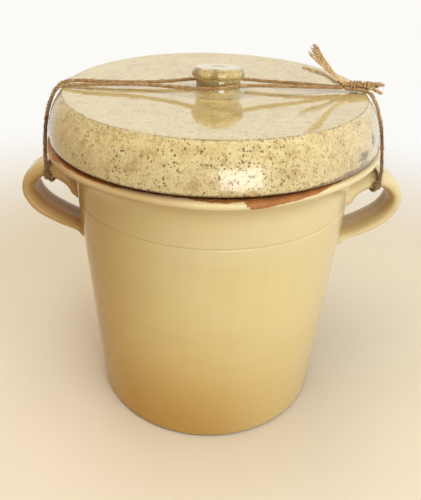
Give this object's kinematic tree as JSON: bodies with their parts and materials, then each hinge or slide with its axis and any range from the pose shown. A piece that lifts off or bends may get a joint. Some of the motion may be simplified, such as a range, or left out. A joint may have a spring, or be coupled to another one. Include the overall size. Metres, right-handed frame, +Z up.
{
  "type": "glazed confit jar",
  "caption": "Yellow glazed earthenware confit jar with two strap handles and an overhanging knobbed lid, tied shut with jute twine.",
  "frame": {"origin": "middle of the foot, on the surface that the jar stands on", "axes": "+X through the right handle, -Y to the front of the jar, +Z up"},
  "size_m": [0.3858, 0.3168, 0.3758],
  "materials": {
    "jar_glaze": "glossy pale yellow lead-style glaze, worn to orange earthenware along the rim",
    "lid_glaze": "glossy yellow glaze with iron specks and pits, darkened lower edge",
    "jute": "matt twisted jute fibre, fuzzy"
  },
  "bodies": {
    "root": {"jar": "jar_glaze", "lid": "lid_glaze", "twine_near": "jute", "twine_far": "jute", "twine_right": "jute", "twine_turn_left": "jute", "twine_turn_right": "jute", "twine_hitch_left": "jute", "twine_hitch_right": "jute", "twine_knot": "jute", "twine_tail_frayed": "jute", "twine_tail_thin": "jute", "twine_stub_upper": "jute", "twine_stub_lower": "jute"}
  },
  "joints": []
}
